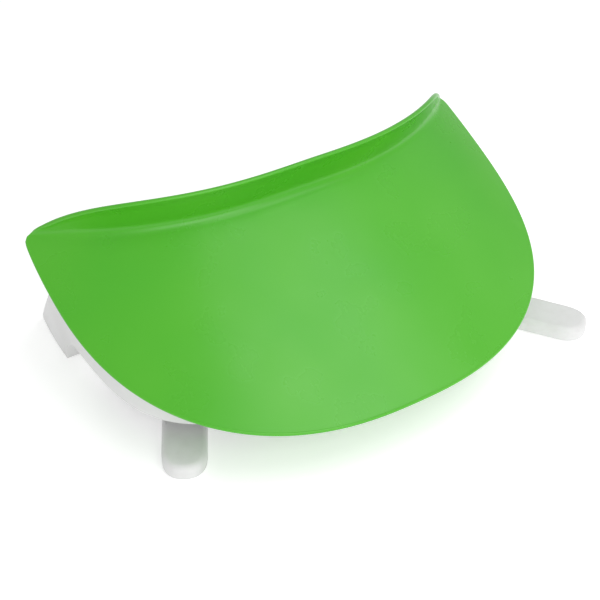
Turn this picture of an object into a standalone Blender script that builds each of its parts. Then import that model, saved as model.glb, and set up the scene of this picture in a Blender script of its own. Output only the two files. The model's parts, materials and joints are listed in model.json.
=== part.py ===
"""Visor-shaped plastic tray on a low stand with two swing-out front feet.

Metres, +Z up, +X to the right, the front edge of the tray toward -Y.
The floor is z = 0 and the origin is under the middle of the footprint. The shapes
are laid out from the line of the tray's rear corners, then moved there at the end.
Every size that can be set by itself is named below.
"""

import math

import bmesh
import bpy
from mathutils import Vector
from mathutils.geometry import delaunay_2d_cdt

MM = 0.001

# Tray: outline in plan
TRAY_WIDTH = 380 * MM          # between the two rear corners
TRAY_DEPTH = 236 * MM          # from the line of the rear corners to the front edge
REAR_BOW = 78 * MM             # how far the rear edge bows forward at the middle
REAR_BOW_POWER = 2.4
FRONT_WRAP = math.radians(99.7)   # how far the front edge wraps round to each corner
FRONT_FULLNESS = 0.85
CORNER_ROUND = 4 * MM

# Tray: heights of the arched sheet
CREST_HEIGHT = 136 * MM        # top face at the middle of the rear edge
CORNER_HEIGHT = 117 * MM       # top face at the rear corners
FRONT_HEIGHT = 46 * MM         # top face at the middle of the front edge
FRONT_ARCH = 0.72              # cross-arch per metre at the front edge
SHEET_THICK = 2.6 * MM

# Tray: the lip along the rear edge
LIP_HEIGHT = 34 * MM
LIP_LEAN = math.radians(24)
LIP_END_POWER = 7
LIP_END_EASE = 1.4
LIP_FILLET = 6 * MM
LIP_BEAD = 2.3 * MM
EDGE_ROLL = 0.2 * MM           # height of the rounded edge where there is no lip
EDGE_STEP = 7.0 * MM           # spacing of mesh points along the outline
FACE_STEP = 13.0 * MM          # spacing of mesh points over the sheet

# Fits
FIT = 0.2 * MM                 # between pieces that bear on each other
SEAT_GAP = 0.3 * MM            # between the tray and the stand
HOLE_GAP = 0.3 * MM            # all round a pin or spigot in its hole

# Stand
STAND_WALL = 3.0 * MM
STAND_SIDE_INSET = 16 * MM     # stand's side wall inside the tray's corners
STAND_FRONT_INSET = 61 * MM    # stand's front wall behind the tray's front edge
STAND_REAR_INSET = 15 * MM     # stand's rear wall in front of the tray's rear edge
STAND_SQUARE = 4.0             # squareness of the stand's front corners
STAND_SKIRT_HEIGHT = 28 * MM   # lower edge of the skirt above the floor
LEG_WIDTH = 24 * MM
LEG_FRONT = 14 * MM            # leg's toe, ahead of the tray's corners
LEG_REAR = 42 * MM             # leg's heel, behind the tray's corners
LEG_RAKE = 1.35                # rise of the leg's rear face per unit of depth
LEG_HEEL_HEIGHT = 5.5 * MM
LEG_ARCH_RUN = 24 * MM
LEG_CLEAR = 1.5 * MM           # leg's underside above the floor
STAND_STEPS = 54
STAND_ROWS = 6

# Rear rubber plugs
PLUG_WALL = 4.5 * MM           # leg wall left round the plug's pocket
PLUG_HEIGHT = 9 * MM
POCKET_ROOF = 4 * MM

# Front feet
FOOT_PIVOT_X = 118 * MM
FOOT_PIVOT_Y = -104 * MM
FOOT_REACH = 126 * MM          # from the pivot to the toe, fully drawn out
FOOT_TRAVEL = 44 * MM          # length the foot can slide along its slot
LEFT_SPLAY = math.radians(28.5)    # outward from straight ahead, as it stands
RIGHT_SPLAY = math.radians(35)
LEFT_DRAWN_IN = 43 * MM        # how far in from full reach, as it stands
RIGHT_DRAWN_IN = 3 * MM
FOOT_ROOT_RADIUS = 18 * MM
FOOT_TOE_WIDTH = 33 * MM
FOOT_TOE_ROUND = 2.4
FOOT_TOE_LENGTH = 21 * MM
FOOT_CLEAR = 1.0 * MM
FOOT_THICK = 12 * MM
FOOT_EDGE_ROUND = 4.5 * MM
FOOT_SOLE_ROUND = 1.2 * MM

# Front rubber pads
PAD_RADIUS = 9 * MM
PAD_THICK = 3 * MM
PAD_FROM_TOE = 20 * MM

# Foot pivot
PIVOT_SHOULDER = 3.5 * MM      # radius
PIVOT_THREAD = 2.0 * MM        # radius
PIVOT_THREAD_LENGTH = 12 * MM
PIVOT_HEAD = 5.5 * MM          # radius
PIVOT_HEAD_THICK = 2.4 * MM
PIVOT_HEAD_RECESS = 0.6 * MM   # head above the foot's underside
PIVOT_WASHER = 6.0 * MM        # radius
PIVOT_WASHER_THICK = 0.8 * MM
FRICTION_RING = 9.5 * MM       # radius
FRICTION_RING_THICK = 1.0 * MM
PIVOT_POST = 10 * MM           # radius
SOCKET = 2.2 * MM              # radius of the drive socket
SOCKET_DEPTH = 1.4 * MM

# Tray screws
TRAY_SCREW_X = 60 * MM
TRAY_SCREW_CLEAR = 7 * MM      # room kept between a screw's axis and the stand's walls
TRAY_SCREW_ROWS = (5 / 63, 47 / 63)   # shares of the room left, from the rear wall forward
TRAY_POST = 8 * MM             # radius, on the stand
TRAY_POST_DROP = 17 * MM       # post's lower end below the stand's top face
TRAY_POST_FLOOR = 4 * MM
TRAY_BOSS = 4.5 * MM           # radius, on the tray
SCREW_SHANK = 1.75 * MM        # radius
SCREW_HEAD = 3.6 * MM          # radius
SCREW_HEAD_THICK = 2.4 * MM
SCREW_GRIP = 8 * MM
SCREW_WASHER = 5.0 * MM        # radius
SCREW_WASHER_THICK = 0.8 * MM

CUT_PAST = 5 * MM              # how far a cutter runs past what it cuts
ROUND_SEGMENTS = 32

GREEN = (0.115, 0.50, 0.055, 1.0)
WHITE = (0.80, 0.80, 0.78, 1.0)
STEEL = (0.55, 0.56, 0.58, 1.0)
RUBBER = (0.06, 0.06, 0.065, 1.0)
NYLON = (0.85, 0.84, 0.78, 1.0)

HALF = TRAY_WIDTH / 2


# ---------------------------------------------------------------- scene and materials

def clear_scene():
    for obj in list(bpy.data.objects):
        bpy.data.objects.remove(obj, do_unlink=True)


def plain_material(name, color, roughness, metallic=0.0):
    material = bpy.data.materials.new(name)
    material.use_nodes = True
    shader = material.node_tree.nodes["Principled BSDF"]
    shader.inputs["Base Color"].default_value = color
    shader.inputs["Roughness"].default_value = roughness
    shader.inputs["Metallic"].default_value = metallic
    material.diffuse_color = color
    return material


def object_from(name, bm, look=None, at=(0, 0, 0)):
    bmesh.ops.remove_doubles(bm, verts=bm.verts, dist=1e-7)
    bmesh.ops.recalc_face_normals(bm, faces=bm.faces)
    mesh = bpy.data.meshes.new(name)
    bm.to_mesh(mesh)
    bm.free()
    obj = bpy.data.objects.new(name, mesh)
    if any(at):
        for vertex in mesh.vertices:
            vertex.co -= Vector(at)
        obj.location = at
    bpy.context.scene.collection.objects.link(obj)
    if look:
        mesh.materials.append(plain_material(name, *look))
    return obj


def boolean(obj, cutter, operation):
    cutter.hide_render = True
    cutter.display_type = "WIRE"
    modifier = obj.modifiers.new(operation.lower() + "_" + cutter.name, "BOOLEAN")
    modifier.operation = operation
    modifier.solver = "EXACT"
    modifier.object = cutter


# ---------------------------------------------------------------- shape helpers

def stitch(bm, lower, upper, closed=True):
    """Quads between two rows of vertices."""
    count = len(lower)
    for i in range(count if closed else count - 1):
        j = (i + 1) % count
        bm.faces.new((lower[i], lower[j], upper[j], upper[i]))


def fan(bm, ring, middle):
    for i, vertex in enumerate(ring):
        bm.faces.new((vertex, ring[(i + 1) % len(ring)], middle))


def lathe(profile, x, y, segments=ROUND_SEGMENTS):
    """Solid of revolution about a vertical axis; the profile starts and ends on the axis or closes a ring."""
    bm = bmesh.new()
    rows = []
    for radius, z in profile:
        if radius == 0:
            rows.append(bm.verts.new((x, y, z)))
            continue
        row = []
        for k in range(segments):
            turn = 2 * math.pi * k / segments
            row.append(bm.verts.new((x + radius * math.cos(turn), y + radius * math.sin(turn), z)))
        rows.append(row)
    closed = profile[0][0] != 0
    for i in range(len(rows) if closed else len(rows) - 1):
        a, b = rows[i], rows[(i + 1) % len(rows)]
        if isinstance(a, list) and isinstance(b, list):
            stitch(bm, a, b)
        elif isinstance(a, list):
            fan(bm, a, b)
        else:
            fan(bm, b, a)
    return bm


def ring_profile(inner, outer, low, high):
    return [(inner, low), (outer, low), (outer, high), (inner, high)]


def rod_profile(radius, low, high):
    return [(0, low), (radius, low), (radius, high), (0, high)]


def post(x, y, radius, low, top_at):
    """Vertical post whose top follows a surface."""
    bm = bmesh.new()
    rows = [[], []]
    for k in range(ROUND_SEGMENTS):
        turn = 2 * math.pi * k / ROUND_SEGMENTS
        px, py = x + radius * math.cos(turn), y + radius * math.sin(turn)
        rows[0].append(bm.verts.new((px, py, low)))
        rows[1].append(bm.verts.new((px, py, top_at(px, py))))
    stitch(bm, *rows)
    fan(bm, rows[0], bm.verts.new((x, y, low)))
    fan(bm, rows[1], bm.verts.new((x, y, top_at(x, y))))
    return bm


def even_steps(points, count):
    """The open polyline resampled at equal lengths, as count + 1 points."""
    lengths = [0.0]
    for a, b in zip(points, points[1:]):
        lengths.append(lengths[-1] + (b - a).length)
    found, i = [], 0
    for k in range(count + 1):
        want = lengths[-1] * k / count
        while i < len(points) - 2 and lengths[i + 1] < want:
            i += 1
        share = (want - lengths[i]) / (lengths[i + 1] - lengths[i])
        found.append(points[i].lerp(points[i + 1], min(max(share, 0.0), 1.0)))
    return found


def strip_solid(outer, inner, rows, low, top_at):
    """Solid between two plan curves of equal count, from a flat underside up to a surface."""
    bm = bmesh.new()
    top, bottom = [], []
    for o, i in zip(outer, inner):
        line = [o.lerp(i, r / rows) for r in range(rows + 1)]
        top.append([bm.verts.new((p.x, p.y, top_at(p.x, p.y))) for p in line])
        bottom.append([bm.verts.new((p.x, p.y, low)) for p in line])
    for a, b in zip(top, top[1:]):
        stitch(bm, a, b, closed=False)
    for a, b in zip(bottom, bottom[1:]):
        stitch(bm, a, b, closed=False)
    for side in (0, rows):
        stitch(bm, [row[side] for row in bottom], [row[side] for row in top], closed=False)
    for end in (0, -1):
        stitch(bm, bottom[end], top[end], closed=False)
    return bm


def prism_along_x(side_view, x_low, x_high):
    """Solid with the same side view from x_low to x_high."""
    bm = bmesh.new()
    ends = [[bm.verts.new((x, y, z)) for y, z in side_view] for x in (x_low, x_high)]
    stitch(bm, *ends)
    for end in ends:
        bm.faces.new(end)
    return bm


# ---------------------------------------------------------------- the tray's sheet

def rear_edge_y(x):
    return -REAR_BOW * (1 - min(abs(x) / HALF, 1.0) ** REAR_BOW_POWER)


def face_slope():
    return (CREST_HEIGHT - FRONT_HEIGHT) / (TRAY_DEPTH - REAR_BOW)


def cross_arch(y):
    """Cross-arch of the sheet at this depth: the drop divided by x squared."""
    middle = CREST_HEIGHT + face_slope() * REAR_BOW
    at_corners = (middle - CORNER_HEIGHT) / HALF ** 2
    return at_corners + (at_corners - FRONT_ARCH) * y / TRAY_DEPTH


def sheet_top(x, y):
    middle = CREST_HEIGHT + face_slope() * (y + REAR_BOW)
    return middle - cross_arch(y) * x * x


def sheet_normal(x, y):
    small = 0.1 * MM
    dx = (sheet_top(x + small, y) - sheet_top(x - small, y)) / (2 * small)
    dy = (sheet_top(x, y + small) - sheet_top(x, y - small)) / (2 * small)
    return Vector((-dx, -dy, 1)).normalized()


def sheet_under(x, y):
    return sheet_top(x, y) - SHEET_THICK / sheet_normal(x, y).z


def signed_power(value, power):
    return math.copysign(abs(value) ** power, value)


def front_edge(count):
    """Plan points a sheet's thickness inside the front edge, from the left corner to the right."""
    points = []
    half = HALF - SHEET_THICK
    start = rear_edge_y(half)
    depth = TRAY_DEPTH - SHEET_THICK + start
    side = math.sin(FRONT_WRAP) ** FRONT_FULLNESS
    back = signed_power(math.cos(FRONT_WRAP), FRONT_FULLNESS)
    for k in range(count + 1):
        turn = FRONT_WRAP * (2 * k / count - 1)
        x = half * signed_power(math.sin(turn), FRONT_FULLNESS) / side
        y = start - depth * (signed_power(math.cos(turn), FRONT_FULLNESS) - back) / (1 - back)
        points.append(Vector((x, y)))
    return points


def rear_edge(count):
    half = HALF - SHEET_THICK
    return [Vector((x, rear_edge_y(x))) for x in (half * (1 - 2 * k / count) for k in range(count + 1))]


def rounded_loop(points, radius):
    """Closed polyline with its corners eased over about this length."""
    passes = max(1, round((radius / EDGE_STEP) ** 2 * 4))
    for _ in range(passes):
        points = [
            (points[i - 1] + points[i] * 2 + points[(i + 1) % len(points)]) / 4
            for i in range(len(points))
        ]
    return points


def tray_outline():
    front, rear = front_edge(400), rear_edge(400)
    around = sum((b - a).length for line in (front, rear) for a, b in zip(line, line[1:]))
    front_length = sum((b - a).length for a, b in zip(front, front[1:]))
    count = 2 * round(around / EDGE_STEP / 2)
    front_count = 2 * round(count * front_length / around / 2)
    front = even_steps(front, front_count)
    rear = even_steps(rear, count - front_count)
    points = rounded_loop(front[:-1] + rear[:-1], CORNER_ROUND)
    on_rear = [i > front_count for i in range(len(points))]
    return points, on_rear


def lip_height_at(point, rear):
    if not rear:
        return EDGE_ROLL
    share = min(abs(point.x) / HALF, 1.0)
    full = LIP_HEIGHT * (1 - share ** LIP_END_POWER) ** LIP_END_EASE
    return max(full, EDGE_ROLL)


def rim_profile(point, inward, height):
    """Points across the rim, from the sheet's top face over the lip to the sheet's underside."""
    base = Vector((point.x, point.y, sheet_top(point.x, point.y)))
    inner = Vector((inward.x, inward.y, 0))
    lean = Vector((0, -math.sin(LIP_LEAN), math.cos(LIP_LEAN)))
    share = min(height / LIP_HEIGHT, 1.0)
    up = Vector((0, 0, 1)).lerp(lean, share).normalized()
    fillet = min(LIP_FILLET, 0.3 * height)
    bead = min(LIP_BEAD, 0.2 * height)
    bead_across = max(bead, SHEET_THICK / 2)
    start_xy = point + inward * fillet
    start = Vector((start_xy.x, start_xy.y, sheet_top(start_xy.x, start_xy.y)))
    end = base + up * fillet
    profile = [start]
    for step in (0.25, 0.5, 0.75):
        profile.append(start * (1 - step) ** 2 + base * 2 * step * (1 - step) + end * step ** 2)
    profile.append(end)
    neck = height - 2.1 * bead
    profile.append(base + up * neck)
    centre = base - inner * (SHEET_THICK / 2) + up * (height - bead)
    for degrees in (-15, 25, 60, 90, 120, 155, 195):
        turn = math.radians(degrees)
        profile.append(centre + inner * (bead_across * math.cos(turn)) + up * (bead * math.sin(turn)))
    outer = base - inner * SHEET_THICK
    profile.append(outer + up * neck)
    drop = Vector((0, 0, sheet_under(point.x, point.y) - base.z))
    profile.append(outer + up * fillet * 0.3)
    profile.append(outer * 0.75 + base * 0.25 + drop * 0.9)
    profile.append(base + drop)
    under = Vector((start_xy.x, start_xy.y, sheet_under(start_xy.x, start_xy.y)))
    profile.append(under)
    return profile


def inside(point, loop):
    hit = False
    for i, b in enumerate(loop):
        a = loop[i - 1]
        if (a.y > point.y) != (b.y > point.y):
            if point.x < (b.x - a.x) * (point.y - a.y) / (b.y - a.y) + a.x:
                hit = not hit
    return hit


def face_points(loop, clear):
    """Plan points in a triangular grid inside the loop, clear of its edge, and the same on both sides."""
    found = []
    row_step = FACE_STEP * math.sqrt(3) / 2
    rows = int(TRAY_DEPTH / row_step) + 2
    columns = int(HALF / FACE_STEP) + 2
    for row in range(-1, rows):
        y = -row * row_step
        for column in range(-columns, columns + 1):
            x = (column + 0.5 * (row % 2)) * FACE_STEP
            point = Vector((x, y))
            near = min((point - other).length for other in loop)
            if near > clear and inside(point, loop):
                found.append(point)
    return found


def tray_body():
    outline, on_rear = tray_outline()
    count = len(outline)
    profiles = []
    for i, point in enumerate(outline):
        along = (outline[(i + 1) % count] - outline[i - 1]).normalized()
        inward = Vector((-along.y, along.x))
        profiles.append(rim_profile(point, inward, lip_height_at(point, on_rear[i])))
    bm = bmesh.new()
    rows = [[bm.verts.new(profile[k]) for profile in profiles] for k in range(len(profiles[0]))]
    for a, b in zip(rows, rows[1:]):
        stitch(bm, a, b)
    loop = [Vector((profile[0].x, profile[0].y)) for profile in profiles]
    grid = face_points(loop, 0.62 * FACE_STEP)
    plan = loop + grid
    edges = [(i, (i + 1) % count) for i in range(count)]
    _, _, faces, _, _, _ = delaunay_2d_cdt(plan, edges, [], 1, 1e-7)
    top = rows[0] + [bm.verts.new((p.x, p.y, sheet_top(p.x, p.y))) for p in grid]
    under = rows[-1] + [bm.verts.new((p.x, p.y, sheet_under(p.x, p.y))) for p in grid]
    for face in faces:
        bm.faces.new([top[i] for i in face])
        bm.faces.new([under[i] for i in reversed(face)])
    return bm


# ---------------------------------------------------------------- the stand's plan and top

def stand_half_width():
    return HALF - STAND_SIDE_INSET


def stand_top(x, y):
    """Top face of the stand: the sheet's underside, or the raked rear face of a leg."""
    raked = LEG_HEEL_HEIGHT + LEG_RAKE * (LEG_REAR - y)
    return min(sheet_under(x, y) - SEAT_GAP, raked)


def stand_outer(inset, rear_y):
    """Half of the outer plan curve, from the front middle to the leg's heel."""
    half = stand_half_width() - inset
    depth = TRAY_DEPTH - STAND_FRONT_INSET - LEG_FRONT - inset
    points = []
    for k in range(121):
        turn = math.pi / 2 * k / 120
        x = half * math.sin(turn) ** (2 / STAND_SQUARE)
        y = -LEG_FRONT - depth * math.cos(turn) ** (2 / STAND_SQUARE)
        points.append(Vector((x, y)))
    if rear_y < -LEG_FRONT:
        return [p for p in points if p.y < rear_y] + [Vector((half, rear_y))]
    heel = half - LEG_WIDTH / 6
    for k in range(1, 21):
        share = k / 20
        points.append(Vector((half + (heel - half) * share ** 2, -LEG_FRONT + (rear_y + LEG_FRONT) * share)))
    return points


def stand_inner(inset, rear_y):
    """Half of the rear plan curve, from the middle to the inner side of the leg's heel."""
    side = stand_half_width() - LEG_WIDTH - inset
    points = []
    for k in range(81):
        x = side * k / 80
        points.append(Vector((x, rear_edge_y(x) - STAND_REAR_INSET - inset)))
    if rear_y is not None:
        last = points[-1].y
        points += [Vector((side, last + (rear_y - last) * k / 30)) for k in range(1, 31)]
    return points


def both_sides(half_line, count):
    right = even_steps(half_line, count)
    left = [Vector((-p.x, p.y)) for p in reversed(right[1:])]
    return left + right


def stand_shell():
    outer = both_sides(stand_outer(0, LEG_REAR), STAND_STEPS)
    inner = both_sides(stand_inner(0, LEG_REAR), STAND_STEPS)
    return strip_solid(outer, inner, STAND_ROWS, LEG_CLEAR, stand_top)


def stand_cavity():
    inner_half = stand_inner(STAND_WALL, None)
    outer_half = stand_outer(STAND_WALL, inner_half[-1].y + STAND_WALL)
    outer = both_sides(outer_half, STAND_STEPS)
    inner = both_sides(inner_half, STAND_STEPS)
    roof = lambda x, y: stand_top(x, y) - STAND_WALL * 1.15
    return strip_solid(outer, inner, STAND_ROWS, LEG_CLEAR - CUT_PAST, roof)


def skirt_cutter():
    """Everything below the skirt, with the arch that rises from each leg's toe."""
    low = LEG_CLEAR - CUT_PAST
    front = -TRAY_DEPTH
    rise = STAND_SKIRT_HEIGHT - LEG_CLEAR
    side = [(front, low), (-LEG_FRONT, low)]
    for k in range(13):
        turn = math.pi / 2 * k / 12
        y = -LEG_FRONT - LEG_ARCH_RUN * (1 - math.cos(turn))
        side.append((y, LEG_CLEAR + rise * math.sin(turn)))
    side.append((front, STAND_SKIRT_HEIGHT))
    return prism_along_x(side, -TRAY_WIDTH, TRAY_WIDTH)


def plug_plan(clear):
    """Plan box of the pocket in the right leg, less a clearance: x low, x high, y low, y high."""
    outer = stand_half_width() - LEG_WIDTH / 6
    inner = stand_half_width() - LEG_WIDTH
    front = -LEG_FRONT + PLUG_WALL
    rear = LEG_REAR - PLUG_WALL * 1.6
    wall = PLUG_WALL + clear
    return inner + wall, outer - wall, front + clear, rear - clear


def plug_box(sign, clear, low, top_at):
    x_low, x_high, y_low, y_high = plug_plan(clear)
    steps = [k / 8 for k in range(9)]
    outer = [Vector((sign * x_high, y_low + (y_high - y_low) * s)) for s in steps]
    inner = [Vector((sign * x_low, y_low + (y_high - y_low) * s)) for s in steps]
    return strip_solid(outer, inner, 2, low, top_at)


# ---------------------------------------------------------------- heights of the pivot stack

def pivot_heights():
    """Named levels of the foot's pivot, from the floor up."""
    head_low = FOOT_CLEAR + PIVOT_HEAD_RECESS
    head_top = head_low + PIVOT_HEAD_THICK
    washer_low = head_top + FIT
    washer_top = washer_low + PIVOT_WASHER_THICK
    web_low = washer_top + FIT
    foot_top = FOOT_CLEAR + FOOT_THICK
    ring_low = foot_top + FIT
    ring_top = ring_low + FRICTION_RING_THICK
    return {
        "head_low": head_low, "head_top": head_top,
        "washer_low": washer_low, "washer_top": washer_top,
        "web_low": web_low, "foot_top": foot_top,
        "ring_low": ring_low, "ring_top": ring_top,
        "post_low": ring_top + FIT,
    }


def tray_screw_places():
    keep = STAND_WALL + TRAY_SCREW_CLEAR
    rear = -(REAR_BOW + STAND_REAR_INSET + keep)
    front = -(TRAY_DEPTH - STAND_FRONT_INSET - keep)
    rows = [rear + (front - rear) * share for share in TRAY_SCREW_ROWS]
    return [(sign * TRAY_SCREW_X, y) for y in rows for sign in (-1, 1)]


def post_low_at(x, y):
    return stand_top(x, y) - TRAY_POST_DROP


# ---------------------------------------------------------------- pieces

def make_tray():
    tray = object_from("tray", tray_body(), (GREEN, 0.33))
    for number, (x, y) in enumerate(tray_screw_places(), 1):
        low = post_low_at(x, y) + TRAY_POST_FLOOR + FIT
        middle = lambda px, py: sheet_top(px, py) - SHEET_THICK / 2
        boss = object_from(f"tray_boss_{number}", post(x, y, TRAY_BOSS, low, middle))
        boolean(tray, boss, "UNION")
        depth = low + SCREW_GRIP + 2 * FIT
        hole = lathe(rod_profile(SCREW_SHANK + FIT, low - CUT_PAST, depth), x, y, 24)
        boolean(tray, object_from(f"tray_pilot_{number}", hole), "DIFFERENCE")
    return tray


def make_stand():
    stand = object_from("stand", stand_shell(), (WHITE, 0.45))
    boolean(stand, object_from("stand_cavity", stand_cavity()), "DIFFERENCE")
    boolean(stand, object_from("stand_skirt_cut", skirt_cutter()), "DIFFERENCE")
    inside_roof = lambda x, y: stand_top(x, y) - STAND_WALL / 2
    pivot_low = pivot_heights()["post_low"]
    for side, sign in (("left", -1), ("right", 1)):
        x, y = sign * FOOT_PIVOT_X, FOOT_PIVOT_Y
        pivot_post = object_from(f"pivot_post_{side}", post(x, y, PIVOT_POST, pivot_low, inside_roof))
        boolean(stand, pivot_post, "UNION")
        thread_top = pivot_low + PIVOT_THREAD_LENGTH + CUT_PAST
        hole = rod_profile(PIVOT_THREAD + FIT, pivot_low - CUT_PAST, thread_top)
        boolean(stand, object_from(f"pivot_hole_{side}", lathe(hole, x, y, 24)), "DIFFERENCE")
        roof = lambda px, py: min(stand_top(px, py) - POCKET_ROOF, PLUG_HEIGHT * 3)
        pocket = object_from(f"plug_pocket_{side}", plug_box(sign, 0, LEG_CLEAR - CUT_PAST, roof))
        boolean(stand, pocket, "DIFFERENCE")
    for number, (x, y) in enumerate(tray_screw_places(), 1):
        low = post_low_at(x, y)
        boolean(stand, object_from(f"stand_post_{number}", post(x, y, TRAY_POST, low, inside_roof)), "UNION")
        seat = low + TRAY_POST_FLOOR
        past = stand_top(x, y) + CUT_PAST
        step = [
            (0, low - CUT_PAST), (SCREW_SHANK + HOLE_GAP, low - CUT_PAST), (SCREW_SHANK + HOLE_GAP, seat),
            (TRAY_BOSS + HOLE_GAP, seat), (TRAY_BOSS + HOLE_GAP, past), (0, past),
        ]
        boolean(stand, object_from(f"stand_bore_{number}", lathe(step, x, y)), "DIFFERENCE")
    return stand


def foot_stance(side):
    """Side's sign, splay and how far the foot is drawn in, as it stands."""
    if side == "left":
        return -1, LEFT_SPLAY, LEFT_DRAWN_IN
    return 1, RIGHT_SPLAY, RIGHT_DRAWN_IN


def foot_plan(inset):
    """Plan loop of a foot that points along +Y from its pivot at full reach, drawn in by an inset."""
    half = FOOT_TOE_WIDTH / 2 - inset
    root = FOOT_ROOT_RADIUS - inset
    shoulder = FOOT_REACH - FOOT_TOE_LENGTH
    points = []
    for k in range(33):
        turn = math.pi * k / 32
        x = half * signed_power(math.cos(turn), 2 / FOOT_TOE_ROUND)
        y = shoulder + (FOOT_TOE_LENGTH - inset) * math.sin(turn) ** (2 / FOOT_TOE_ROUND)
        points.append(Vector((x, y)))
    for k in range(1, 6):
        share = k / 6
        points.append(Vector((-half - (root - half) * share ** 2, shoulder * (1 - share))))
    for k in range(25):
        turn = math.pi * (1 + k / 24)
        points.append(Vector((root * math.cos(turn), root * math.sin(turn))))
    for k in range(1, 6):
        share = 1 - k / 6
        points.append(Vector((half + (root - half) * share ** 2, shoulder * (1 - share))))
    return points


def foot_rows():
    """Inset and height of each loop of the foot, from the sole to the top face."""
    low, high = FOOT_CLEAR, FOOT_CLEAR + FOOT_THICK
    rows = []
    for k in range(4):
        turn = math.pi / 2 * k / 3
        rows.append((FOOT_SOLE_ROUND * (1 - math.sin(turn)), low + FOOT_SOLE_ROUND * (1 - math.cos(turn))))
    for k in range(7):
        turn = math.pi / 2 * k / 6
        rows.append((FOOT_EDGE_ROUND * (1 - math.cos(turn)), high - FOOT_EDGE_ROUND * (1 - math.sin(turn))))
    return rows


def placed(side, point):
    """Plan point of a foot turned to its splay, drawn in and put on its pivot."""
    sign, turn, drawn_in = foot_stance(side)
    out = point.y - drawn_in
    x = point.x * math.cos(turn) + out * math.sin(turn)
    y = point.x * math.sin(turn) - out * math.cos(turn)
    return sign * (FOOT_PIVOT_X + x), FOOT_PIVOT_Y + y


def slot_cutter(side, radius, low, high):
    """Round-ended cutter along the foot's slot."""
    bm = bmesh.new()
    rows = [[], []]
    half = ROUND_SEGMENTS // 2
    for end, start in ((FOOT_TRAVEL, 0), (0, math.pi)):
        for k in range(half + 1):
            turn = start + math.pi * k / half
            plan = Vector((radius * math.cos(turn), end + radius * math.sin(turn)))
            for row, z in zip(rows, (low, high)):
                row.append(bm.verts.new((*placed(side, plan), z)))
    stitch(bm, *rows)
    for row in rows:
        bm.faces.new(row)
    return bm


def make_foot(side):
    bm = bmesh.new()
    rows = []
    for inset, z in foot_rows():
        rows.append([bm.verts.new((*placed(side, p), z)) for p in foot_plan(inset)])
    for a, b in zip(rows, rows[1:]):
        stitch(bm, a, b)
    bm.faces.new(rows[0])
    bm.faces.new(rows[-1])
    sign = foot_stance(side)[0]
    at = (sign * FOOT_PIVOT_X, FOOT_PIVOT_Y, 0)
    foot = object_from(f"front_foot_{side}", bm, (WHITE, 0.42), at)
    web_low = pivot_heights()["web_low"]
    below, above = FOOT_CLEAR - CUT_PAST, FOOT_CLEAR + FOOT_THICK + CUT_PAST
    recess = slot_cutter(side, PIVOT_WASHER + HOLE_GAP, below, web_low)
    boolean(foot, object_from(f"foot_recess_{side}", recess), "DIFFERENCE")
    slot = slot_cutter(side, PIVOT_SHOULDER + HOLE_GAP, below, above)
    boolean(foot, object_from(f"foot_slot_{side}", slot), "DIFFERENCE")
    x, y = placed(side, Vector((0, FOOT_REACH - PAD_FROM_TOE)))
    seat = lathe(rod_profile(PAD_RADIUS + HOLE_GAP, below, PAD_THICK + FIT), x, y)
    boolean(foot, object_from(f"pad_seat_{side}", seat), "DIFFERENCE")
    return foot


def make_pivot(side, sign):
    x, y = sign * FOOT_PIVOT_X, FOOT_PIVOT_Y
    levels = pivot_heights()
    shoulder_top = levels["post_low"] - FIT
    screw = [
        (0, levels["head_low"] + SOCKET_DEPTH), (SOCKET, levels["head_low"] + SOCKET_DEPTH),
        (SOCKET, levels["head_low"]), (PIVOT_HEAD, levels["head_low"]), (PIVOT_HEAD, levels["head_top"]),
        (PIVOT_SHOULDER, levels["head_top"]), (PIVOT_SHOULDER, shoulder_top),
        (PIVOT_THREAD, shoulder_top), (PIVOT_THREAD, shoulder_top + PIVOT_THREAD_LENGTH),
        (0, shoulder_top + PIVOT_THREAD_LENGTH),
    ]
    object_from(f"pivot_screw_{side}", lathe(screw, x, y), (STEEL, 0.3, 1.0))
    washer = ring_profile(PIVOT_SHOULDER + FIT, PIVOT_WASHER, levels["washer_low"], levels["washer_top"])
    object_from(f"pivot_washer_{side}", lathe(washer, x, y), (STEEL, 0.35, 1.0))
    ring = ring_profile(PIVOT_SHOULDER + FIT, FRICTION_RING, levels["ring_low"], levels["ring_top"])
    object_from(f"friction_ring_{side}", lathe(ring, x, y), (NYLON, 0.5))


def make_pads(side, sign):
    x, y = placed(side, Vector((0, FOOT_REACH - PAD_FROM_TOE)))
    bevel = PAD_THICK / 6
    pad = [(0, 0), (PAD_RADIUS - bevel, 0), (PAD_RADIUS, bevel), (PAD_RADIUS, PAD_THICK), (0, PAD_THICK)]
    object_from(f"front_pad_{side}", lathe(pad, x, y), (RUBBER, 0.8))
    flat = lambda px, py: min(PLUG_HEIGHT, stand_top(px, py) - POCKET_ROOF - FIT)
    object_from(f"rear_plug_{side}", plug_box(sign, HOLE_GAP, 0, flat), (RUBBER, 0.8))


def make_tray_screw(number, x, y):
    post_low = post_low_at(x, y)
    washer_top = post_low - FIT
    washer_low = washer_top - SCREW_WASHER_THICK
    head_top = washer_low - FIT
    head_low = head_top - SCREW_HEAD_THICK
    tip = post_low + TRAY_POST_FLOOR + FIT + SCREW_GRIP
    socket = SCREW_HEAD / 2
    screw = [
        (0, head_low + SOCKET_DEPTH), (socket, head_low + SOCKET_DEPTH), (socket, head_low),
        (SCREW_HEAD, head_low), (SCREW_HEAD, head_top), (SCREW_SHANK, head_top), (SCREW_SHANK, tip), (0, tip),
    ]
    object_from(f"tray_screw_{number}", lathe(screw, x, y, 28), (STEEL, 0.3, 1.0))
    washer = ring_profile(SCREW_SHANK + FIT, SCREW_WASHER, washer_low, washer_top)
    object_from(f"screw_washer_{number}", lathe(washer, x, y, 28), (STEEL, 0.35, 1.0))


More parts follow.
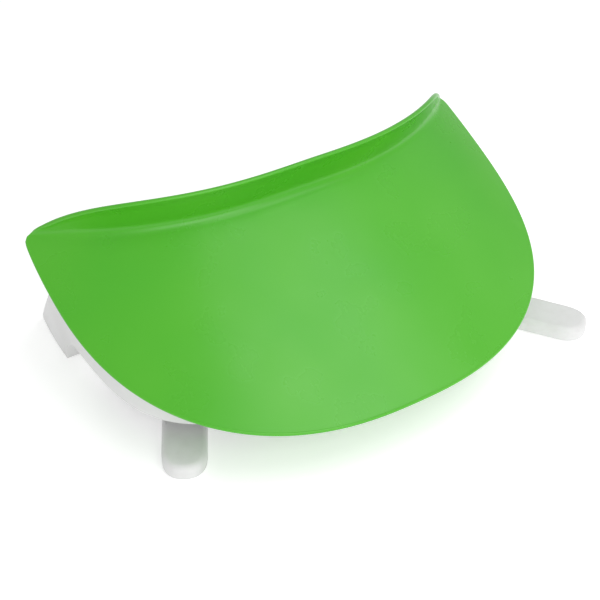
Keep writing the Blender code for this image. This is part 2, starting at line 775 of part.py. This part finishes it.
def put_origin_under_footprint():
    """Moves everything to the middle of the footprint, across the tray and the feet as they stand."""
    widest = [bpy.data.objects[name] for name in ("tray", "front_foot_left", "front_foot_right")]
    across = [obj.location.x + vertex.co.x for obj in widest for vertex in obj.data.vertices]
    middle_x = round((min(across) + max(across)) / 2, 4)
    middle_y = (LEG_REAR - TRAY_DEPTH) / 2
    for obj in bpy.data.objects:
        obj.location.x -= middle_x
        obj.location.y -= middle_y


def main():
    clear_scene()
    make_tray()
    make_stand()
    for side, sign in (("left", -1), ("right", 1)):
        make_foot(side)
        make_pivot(side, sign)
        make_pads(side, sign)
    for number, (x, y) in enumerate(tray_screw_places(), 1):
        make_tray_screw(number, x, y)
    put_origin_under_footprint()


main()
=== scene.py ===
"""Looks of the visor-shaped tray on its low stand: materials, floor, light and camera."""

import json
import math

import bmesh
import bpy
from mathutils import Matrix, Vector
from mathutils.geometry import delaunay_2d_cdt


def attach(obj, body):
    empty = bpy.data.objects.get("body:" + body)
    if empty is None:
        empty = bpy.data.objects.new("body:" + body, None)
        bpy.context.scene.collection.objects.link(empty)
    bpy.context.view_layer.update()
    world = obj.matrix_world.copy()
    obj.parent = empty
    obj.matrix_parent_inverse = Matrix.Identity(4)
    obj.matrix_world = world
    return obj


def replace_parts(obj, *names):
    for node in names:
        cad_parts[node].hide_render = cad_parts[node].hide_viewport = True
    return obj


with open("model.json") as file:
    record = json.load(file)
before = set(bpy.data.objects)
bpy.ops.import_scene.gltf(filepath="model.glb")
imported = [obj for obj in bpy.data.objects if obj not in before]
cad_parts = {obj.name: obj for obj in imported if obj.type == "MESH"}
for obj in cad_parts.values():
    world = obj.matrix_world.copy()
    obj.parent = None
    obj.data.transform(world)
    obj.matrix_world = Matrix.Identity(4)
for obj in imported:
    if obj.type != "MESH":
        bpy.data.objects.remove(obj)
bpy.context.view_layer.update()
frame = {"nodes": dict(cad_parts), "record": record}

# Camera, in metres
CAMERA_AT = (-0.4322, -0.6677, 0.6758)
CAMERA_AIM = (0.01775, 0.0501, 0.0)
CAMERA_LENS = 78.8
SENSOR = 36.0

# Colours, linear
GREEN_DEEP = (0.052, 0.395, 0.014, 1.0)
GREEN_MAIN = (0.078, 0.435, 0.018, 1.0)
GREEN_PALE = (0.112, 0.480, 0.038, 1.0)
WHITE_WARM = (0.68, 0.68, 0.675, 1.0)
WHITE_MAIN = (0.75, 0.75, 0.75, 1.0)
GREY_LOW = (0.52, 0.51, 0.48, 1.0)
RUBBER_DARK = (0.022, 0.022, 0.024, 1.0)
RUBBER_PALE = (0.055, 0.055, 0.058, 1.0)
STEEL_DARK = (0.40, 0.41, 0.43, 1.0)
STEEL_PALE = (0.66, 0.67, 0.69, 1.0)
NYLON_DARK = (0.70, 0.68, 0.60, 1.0)
NYLON_PALE = (0.86, 0.85, 0.79, 1.0)
FLOOR_MAIN = (0.93, 0.93, 0.93, 1.0)
FLOOR_SHADE = (0.90, 0.90, 0.905, 1.0)
# The floor glows: painted light that lifts the object's shadows on it to white and lights the parts from
# below
FLOOR_PAINTED_LIGHT = 0.32
FLOOR_REACH = 6.0

# Light: where, aimed where, size in metres, power in watts
LIGHT_WHITE = (1.0, 1.0, 1.0, 1.0)
WORLD_STRENGTH = 0.58
LIGHTS = {
    "softbox": ((0.42, -0.62, 1.50), (0.42, -0.62, 0.0), (1.15, 0.90), 7.0),
    "key": ((1.40, 0.20, 1.30), (0.05, 0.0, 0.05), (1.2, 1.2), 1.5),
    "fill": ((-0.35, -1.60, 1.25), (0.0, 0.0, 0.06), (1.6, 1.2), 15.0),
}

# The tray's sheet and lip, in metres, laid out from the line of its rear corners
SHIFT = (-0.0017, 0.0970, 0.0)   # from that line to the middle of the footprint
HALF = 0.190
DEPTH = 0.236
BOW = 0.078
BOW_POWER = 2.4
WRAP = math.radians(99.7)
FULLNESS = 0.85
CREST = 0.136
CORNER = 0.117
FRONT = 0.046
FRONT_ARCH = 0.72
THICK = 0.0026
LIP = 0.034
LIP_LEAN = math.radians(24)
LIP_END_POWER = 7
LIP_END_EASE = 1.4
LIP_FILLET = 0.006
LIP_BEAD = 0.0023
EDGE_RISE = 0.0001
EDGE_SHY = 0.00003            # keeps the finer edge inside the coarser part it stands for
EDGE_BLEND = 0.005           # lip height by which the plain rounded edge has become the lip
OUTLINE_STEP = 0.0028
SHEET_STEP = 0.0052
EASED = 0.004                # length over which the outline's corners are eased
LINE_STEPS = 800
ARC_POINTS = 15
BOSS_RADIUS = 0.0045
BOSS_BORE = 0.00195
BOSS_EDGE = 0.0005
BOSS_DROP = 0.0131           # below the sheet's underside
BOSS_BORE_DEPTH = 0.0084
BOSS_X = 0.060
BOSS_ROWS = (-0.10792, -0.14925)
BOSS_STEPS = 48


# ---------------------------------------------------------------- node helpers

class Look:
    """One procedural material, in object space and metres."""

    def __init__(self, name, **fixed):
        self.material = bpy.data.materials.new(name)
        self.material.use_nodes = True
        self.tree = self.material.node_tree
        self.shader = self.tree.nodes["Principled BSDF"]
        self.place = self.add("ShaderNodeTexCoord").outputs["Object"]
        for socket, value in fixed.items():
            self.shader.inputs[socket.replace("_", " ")].default_value = value

    def add(self, kind, **settings):
        node = self.tree.nodes.new(kind)
        for key, value in settings.items():
            setattr(node, key, value)
        return node

    def link(self, source, target):
        self.tree.links.new(source, target)

    def noise(self, scale, detail=3.0, rough=0.5, stretch=None):
        node = self.add("ShaderNodeTexNoise")
        node.inputs["Scale"].default_value = scale
        node.inputs["Detail"].default_value = detail
        node.inputs["Roughness"].default_value = rough
        self.link(self.stretched(stretch), node.inputs["Vector"])
        return node.outputs["Fac"]

    def stretched(self, stretch):
        if stretch is None:
            return self.place
        turn, scale = stretch
        node = self.add("ShaderNodeMapping")
        node.inputs["Rotation"].default_value = turn
        node.inputs["Scale"].default_value = scale
        self.link(self.place, node.inputs["Vector"])
        return node.outputs["Vector"]

    def ramp(self, source, stops):
        node = self.add("ShaderNodeValToRGB")
        ramp = node.color_ramp
        while len(ramp.elements) < len(stops):
            ramp.elements.new(0.5)
        for element, (at, color) in zip(ramp.elements, stops):
            element.position = at
            element.color = color if len(color) == 4 else (*color, 1.0)
        self.link(source, node.inputs["Fac"])
        return node.outputs["Color"]

    def span(self, source, low, high, to_low, to_high):
        node = self.add("ShaderNodeMapRange")
        for socket, value in zip(("From Min", "From Max", "To Min", "To Max"),
                                 (low, high, to_low, to_high)):
            node.inputs[socket].default_value = value
        self.link(source, node.inputs["Value"])
        return node.outputs["Result"]

    def mix(self, share, first, second, kind="MIX"):
        node = self.add("ShaderNodeMix", data_type="RGBA", blend_type=kind)
        if isinstance(share, float):
            node.inputs["Factor"].default_value = share
        else:
            self.link(share, node.inputs["Factor"])
        for socket, value in ((6, first), (7, second)):
            if isinstance(value, tuple):
                node.inputs[socket].default_value = value
            else:
                self.link(value, node.inputs[socket])
        return node.outputs[2]

    def math(self, operation, first, second):
        node = self.add("ShaderNodeMath", operation=operation)
        for socket, value in zip(node.inputs, (first, second)):
            if isinstance(value, (int, float)):
                socket.default_value = value
            else:
                self.link(value, socket)
        return node.outputs[0]

    def axis(self, name):
        node = self.add("ShaderNodeSeparateXYZ")
        self.link(self.place, node.inputs[0])
        return node.outputs[name]

    def edge_wear(self, low=0.50, high=0.56):
        node = self.add("ShaderNodeNewGeometry")
        return self.span(node.outputs["Pointiness"], low, high, 0.0, 1.0)

    def bumps(self, *layers):
        normal = None
        for source, distance in layers:
            node = self.add("ShaderNodeBump")
            node.inputs["Strength"].default_value = 1.0
            node.inputs["Distance"].default_value = distance
            self.link(source, node.inputs["Height"])
            if normal is not None:
                self.link(normal, node.inputs["Normal"])
            normal = node.outputs["Normal"]
        self.link(normal, self.shader.inputs["Normal"])

    def color(self, source):
        self.link(source, self.shader.inputs["Base Color"])

    def roughness(self, source):
        self.link(source, self.shader.inputs["Roughness"])


# ---------------------------------------------------------------- materials

def green_plastic():
    look = Look("green_plastic", IOR=1.47)
    cloud = look.noise(9.0, 2.0)
    base = look.ramp(cloud, [(0.30, GREEN_DEEP), (0.52, GREEN_MAIN), (0.78, GREEN_PALE)])
    base = look.mix(0.45, GREEN_MAIN, base)
    scuff = look.noise(260.0, 4.0, 0.6, ((0, 0, 0.15), (1.0, 0.06, 1.0)))
    scuff = look.span(scuff, 0.60, 0.74, 0.0, 0.10)
    base = look.mix(scuff, base, GREEN_PALE)
    look.color(look.mix(look.span(look.edge_wear(), 0.0, 1.0, 0.0, 0.22), base, GREEN_PALE))
    haze = look.span(look.noise(26.0, 4.0), 0.3, 0.7, 0.25, 0.34)
    look.roughness(look.math("ADD", haze, look.math("MULTIPLY", scuff, 0.8)))
    look.bumps((look.noise(14.0, 2.0), 0.00035), (look.noise(950.0, 3.0), 0.00002))
    return look.material


def white_plastic(name, low_darkening):
    look = Look(name, IOR=1.46)
    cloud = look.noise(14.0, 4.0)
    base = look.ramp(cloud, [(0.32, WHITE_WARM), (0.58, WHITE_MAIN)])
    # Darker towards the bottom: grey mixed in, in patches, up to 22 mm above the floor
    low_down = look.span(look.axis("Z"), 0.0, 0.022, 1.0, 0.0)
    patchy = look.span(look.noise(70.0, 5.0, 0.6), 0.45, 0.70, 0.0, low_darkening)
    base = look.mix(look.math("MULTIPLY", low_down, patchy), base, GREY_LOW)
    look.color(look.mix(look.span(look.edge_wear(), 0.0, 1.0, 0.0, 0.25), base, WHITE_MAIN))
    look.roughness(look.span(look.noise(40.0, 4.0), 0.3, 0.7, 0.46, 0.60))
    look.bumps((look.noise(22.0, 2.0), 0.0002), (look.noise(1200.0, 3.0), 0.00003))
    return look.material


def rubber():
    look = Look("grey_rubber", IOR=1.5)
    look.color(look.ramp(look.noise(120.0, 5.0), [(0.3, RUBBER_DARK), (0.75, RUBBER_PALE)]))
    look.roughness(look.span(look.noise(300.0, 4.0), 0.3, 0.7, 0.72, 0.90))
    look.bumps((look.noise(900.0, 4.0), 0.00006))
    return look.material


def steel():
    look = Look("plated_steel", Metallic=1.0)
    turned = look.noise(700.0, 4.0, 0.6, ((0, 0, 0), (1.0, 1.0, 0.05)))
    look.color(look.ramp(turned, [(0.3, STEEL_DARK), (0.7, STEEL_PALE)]))
    look.roughness(look.span(look.noise(90.0, 4.0), 0.3, 0.7, 0.26, 0.42))
    look.bumps((turned, 0.00002))
    return look.material


def nylon():
    look = Look("natural_nylon", IOR=1.53)
    look.color(look.ramp(look.noise(60.0, 4.0), [(0.3, NYLON_DARK), (0.7, NYLON_PALE)]))
    look.roughness(look.span(look.noise(200.0, 3.0), 0.3, 0.7, 0.42, 0.56))
    look.bumps((look.noise(800.0, 3.0), 0.00003))
    return look.material


def dress(materials):
    """Gives every CAD node the material of its record slot."""
    for part in frame["record"]["subparts"]:
        slots = frame["nodes"][part["node"]].material_slots
        for slot in slots:
            slot.material = materials[part["material_slot"]]


# ---------------------------------------------------------------- the tray's surface

def rear_y(x):
    return -BOW * (1 - min(abs(x) / HALF, 1.0) ** BOW_POWER)


def slope():
    return (CREST - FRONT) / (DEPTH - BOW)


def cross_arch(y):
    at_corners = (CREST + slope() * BOW - CORNER) / HALF ** 2
    return at_corners + (at_corners - FRONT_ARCH) * y / DEPTH


def sheet_top(x, y):
    return CREST + slope() * (y + BOW) - cross_arch(y) * x * x


def sheet_under(x, y):
    small = 1e-4
    dx = (sheet_top(x + small, y) - sheet_top(x - small, y)) / (2 * small)
    dy = (sheet_top(x, y + small) - sheet_top(x, y - small)) / (2 * small)
    return sheet_top(x, y) - THICK * math.sqrt(1 + dx * dx + dy * dy)


def signed_power(value, power):
    return math.copysign(abs(value) ** power, value)


def even_steps(points, count):
    """The open polyline resampled at equal lengths, as count + 1 points."""
    lengths = [0.0]
    for a, b in zip(points, points[1:]):
        lengths.append(lengths[-1] + (b - a).length)
    found, i = [], 0
    for k in range(count + 1):
        want = lengths[-1] * k / count
        while i < len(points) - 2 and lengths[i + 1] < want:
            i += 1
        share = (want - lengths[i]) / (lengths[i + 1] - lengths[i])
        found.append(points[i].lerp(points[i + 1], min(max(share, 0.0), 1.0)))
    return found


def front_line(count):
    """Plan points a sheet's thickness inside the front edge, from the left corner to the right."""
    side = math.sin(WRAP) ** FULLNESS
    back = signed_power(math.cos(WRAP), FULLNESS)
    half = HALF - THICK
    start = rear_y(half)
    depth = DEPTH - THICK + start
    points = []
    for k in range(count + 1):
        turn = WRAP * (2 * k / count - 1)
        x = half * signed_power(math.sin(turn), FULLNESS) / side
        y = start - depth * (signed_power(math.cos(turn), FULLNESS) - back) / (1 - back)
        points.append(Vector((x, y)))
    return points


def rear_line(count):
    half = HALF - THICK
    across = (half * (1 - 2 * k / count) for k in range(count + 1))
    return [Vector((x, rear_y(x))) for x in across]


def length_of(line):
    return sum((b - a).length for a, b in zip(line, line[1:]))


def outline():
    """The closed outline in plan, and which of its points lie on the rear edge."""
    front, rear = front_line(LINE_STEPS), rear_line(LINE_STEPS)
    around = length_of(front) + length_of(rear)
    count = 2 * round(around / OUTLINE_STEP / 2)
    front_count = 2 * round(count * length_of(front) / around / 2)
    points = even_steps(front, front_count)[:-1] + even_steps(rear, count - front_count)[:-1]
    for _ in range(max(1, round((EASED / OUTLINE_STEP) ** 2 * 2))):
        points = [(points[i - 1] + points[i] * 2 + points[(i + 1) % count]) / 4 for i in range(count)]
    return points, [i > front_count for i in range(count)]


def lip_height(point, rear):
    if not rear:
        return EDGE_RISE
    share = min(abs(point.x) / HALF, 1.0)
    return max(LIP * (1 - share ** LIP_END_POWER) ** LIP_END_EASE, EDGE_RISE)


def face_point(plan, top=True):
    return Vector((plan.x, plan.y, (sheet_top if top else sheet_under)(plan.x, plan.y)))


def lip_section(point, inward, height):
    """Points across the rim, from the sheet's top face over the lip to its underside."""
    base, under = face_point(point), face_point(point, top=False)
    inner = Vector((inward.x, inward.y, 0))
    lean = Vector((0, -math.sin(LIP_LEAN), math.cos(LIP_LEAN)))
    up = Vector((0, 0, 1)).lerp(lean, min(height / LIP, 1.0)).normalized()
    fillet = min(LIP_FILLET, 0.3 * height)
    bead = min(LIP_BEAD, 0.2 * height)
    across = max(bead, THICK / 2)
    neck = height - 2.1 * bead
    start, end = face_point(point + inward * fillet), base + up * fillet
    points = [start]
    for k in range(1, 8):
        step = k / 8
        points.append(start * (1 - step) ** 2 + base * 2 * step * (1 - step) + end * step ** 2)
    points += [end.lerp(base + up * neck, k / 3) for k in range(4)]
    centre = base - inner * (THICK / 2) + up * (height - bead)
    for degrees in range(-15, 196, 15):
        turn = math.radians(degrees)
        points.append(centre + inner * (across * math.cos(turn)) + up * (bead * math.sin(turn)))
    outer = base - inner * THICK
    points += [outer + up * neck, outer + up * fillet * 0.3]
    points += [outer * 0.75 + base * 0.25 + (under - base) * 0.9, under]
    points.append(face_point(point + inward * fillet, top=False))
    return points


def plain_section(point, inward, like):
    """The same count of points round a plain half-round edge of the sheet."""
    half = THICK / 2
    nose = point - inward * half
    high, low = face_point(nose), face_point(nose, top=False)
    outward = Vector((-inward.x, -inward.y, 0)) * (half - EDGE_SHY)
    points = [like[0]]
    points += [face_point(point.lerp(nose, k / 11)) for k in range(1, 12)]
    for k in range(ARC_POINTS):
        turn = math.pi * (k + 0.5) / ARC_POINTS
        points.append(high.lerp(low, (1 - math.cos(turn)) / 2) + outward * math.sin(turn))
    points += [face_point(nose.lerp(point, k / 3), top=False) for k in range(4)]
    return points + [like[-1]]


def rim(point, inward, height):
    """The section of the rim here: the plain edge, the lip, or a blend of the two."""
    lip = lip_section(point, inward, height)
    plain = plain_section(point, inward, lip)
    share = min(max((height - EDGE_RISE) / (EDGE_BLEND - EDGE_RISE), 0.0), 1.0)
    share = share * share * (3 - 2 * share)
    return [a.lerp(b, share) for a, b in zip(plain, lip, strict=True)]


def inside(point, loop):
    hit = False
    for i, b in enumerate(loop):
        a = loop[i - 1]
        if (a.y > point.y) != (b.y > point.y):
            if point.x < (b.x - a.x) * (point.y - a.y) / (b.y - a.y) + a.x:
                hit = not hit
    return hit


def sheet_points(loop):
    """Plan points in a triangular grid inside the loop, clear of its edge."""
    found = []
    row_step = SHEET_STEP * math.sqrt(3) / 2
    columns = int(HALF / SHEET_STEP) + 3
    for row in range(-1, int(DEPTH / row_step) + 2):
        for column in range(-columns, columns + 1):
            point = Vector(((column + 0.5 * (row % 2)) * SHEET_STEP, -row * row_step))
            if min((point - other).length for other in loop) > 0.62 * SHEET_STEP and inside(point, loop):
                found.append(point)
    return found


def stitch(bm, lower, upper):
    """Quads between two closed rows of vertices."""
    for i in range(len(lower)):
        j = (i + 1) % len(lower)
        bm.faces.new((lower[i], lower[j], upper[j], upper[i]))


def finished(name, bm, material):
    """A smooth green object from the mesh, put in the frame and carried by the base."""
    bmesh.ops.recalc_face_normals(bm, faces=bm.faces)
    mesh = bpy.data.meshes.new(name)
    bm.to_mesh(mesh)
    bm.free()
    mesh.transform(Matrix.Translation(SHIFT))
    mesh.polygons.foreach_set("use_smooth", [True] * len(mesh.polygons))
    mesh.materials.append(material)
    obj = bpy.data.objects.new(name, mesh)
    bpy.context.scene.collection.objects.link(obj)
    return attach(obj, "base")


def fine_tray(material):
    """The sheet and its rim in one mesh, in place of the CAD tray."""
    points, on_rear = outline()
    count = len(points)
    rims = []
    for i, point in enumerate(points):
        along = (points[(i + 1) % count] - points[i - 1]).normalized()
        rims.append(rim(point, Vector((-along.y, along.x)), lip_height(point, on_rear[i])))
    bm = bmesh.new()
    rows = [[bm.verts.new(r[k]) for r in rims] for k in range(len(rims[0]))]
    for lower, upper in zip(rows, rows[1:]):
        stitch(bm, lower, upper)
    loop = [Vector((r[0].x, r[0].y)) for r in rims]
    grid = sheet_points(loop)
    edges = [(i, (i + 1) % count) for i in range(count)]
    faces = delaunay_2d_cdt(loop + grid, edges, [], 1, 1e-7)[2]
    top = rows[0] + [bm.verts.new((p.x, p.y, sheet_top(p.x, p.y))) for p in grid]
    under = rows[-1] + [bm.verts.new((p.x, p.y, sheet_under(p.x, p.y))) for p in grid]
    for face in faces:
        bm.faces.new([top[i] for i in face])
        bm.faces.new([under[i] for i in reversed(face)])
    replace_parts(finished("tray_sheet", bm, material), "tray")


def tray_boss(number, x, y, material):
    """A boss under the sheet with a blind bore, round one of the screws that hold the tray."""
    bm = bmesh.new()
    low = sheet_under(x, y) - BOSS_DROP
    end = low + BOSS_BORE_DEPTH
    rings = []
    section = (
        (BOSS_BORE, end), (BOSS_BORE, low + BOSS_EDGE), (BOSS_BORE + BOSS_EDGE, low),
        (BOSS_RADIUS - BOSS_EDGE, low), (BOSS_RADIUS, low + BOSS_EDGE), (BOSS_RADIUS, None),
    )
    for radius, level in section:
        ring = []
        for k in range(BOSS_STEPS):
            turn = 2 * math.pi * k / BOSS_STEPS
            px, py = x + radius * math.cos(turn), y + radius * math.sin(turn)
            inside_sheet = sheet_top(px, py) - THICK / 2
            ring.append(bm.verts.new((px, py, inside_sheet if level is None else level)))
        rings.append(ring)
    for lower, upper in zip(rings, rings[1:]):
        stitch(bm, lower, upper)
    bm.faces.new(rings[0])
    bm.faces.new(rings[-1])
    finished(f"tray_boss_{number}", bm, material)



# ---------------------------------------------------------------- stage

def floor():
    reach = FLOOR_REACH
    mesh = bpy.data.meshes.new("floor")
    corners = [(-reach, -reach, 0), (reach, -reach, 0), (reach, reach, 0), (-reach, reach, 0)]
    mesh.from_pydata(corners, [], [(0, 1, 2, 3)])
    obj = bpy.data.objects.new("floor", mesh)
    bpy.context.scene.collection.objects.link(obj)
    # Painted light: the floor glows, so its shadows stay almost white
    look = Look("pale_floor", Emission_Color=LIGHT_WHITE, Emission_Strength=FLOOR_PAINTED_LIGHT)
    look.color(look.ramp(look.noise(3.0, 2.0), [(0.4, FLOOR_SHADE), (0.6, FLOOR_MAIN)]))
    look.roughness(look.span(look.noise(12.0, 2.0), 0.3, 0.7, 0.82, 0.92))
    mesh.materials.append(look.material)


def aimed(obj, at, aim):
    """Puts a light or camera in the scene, looking from one place at another."""
    obj.location = at
    obj.rotation_euler = (Vector(aim) - Vector(at)).to_track_quat("-Z", "Y").to_euler()
    bpy.context.scene.collection.objects.link(obj)
    return obj


def area_light(name, at, aim, size, power):
    data = bpy.data.lights.new(name, "AREA")
    data.shape = "RECTANGLE"
    data.size, data.size_y = size
    data.energy = power
    aimed(bpy.data.objects.new(name, data), at, aim)


def studio():
    """Even light all round, a softbox overhead, and a fill from the front."""
    world = bpy.data.worlds.new("studio")
    world.use_nodes = True
    background = world.node_tree.nodes["Background"]
    background.inputs["Color"].default_value = LIGHT_WHITE
    background.inputs["Strength"].default_value = WORLD_STRENGTH
    bpy.context.scene.world = world
    bpy.context.scene.view_settings.view_transform = "Standard"
    for name, (at, aim, size, power) in LIGHTS.items():
        area_light(name, at, aim, size, power)


def camera():
    data = bpy.data.cameras.new("camera")
    data.sensor_width = SENSOR
    data.lens = CAMERA_LENS
    obj = aimed(bpy.data.objects.new("camera", data), CAMERA_AT, CAMERA_AIM)
    bpy.context.scene.camera = obj


camera()
studio()
floor()
green = green_plastic()
fine_tray(green)
boss_places = [(side * BOSS_X, row) for row in BOSS_ROWS for side in (-1, 1)]
for number, (boss_x, boss_y) in enumerate(boss_places, 1):
    tray_boss(number, boss_x, boss_y, green)
dress({
    "tray": green,
    "stand": white_plastic("white_plastic_stand", 0.35),
    "foot": white_plastic("white_plastic_foot", 0.45),
    "rubber": rubber(),
    "steel": steel(),
    "nylon": nylon(),
})
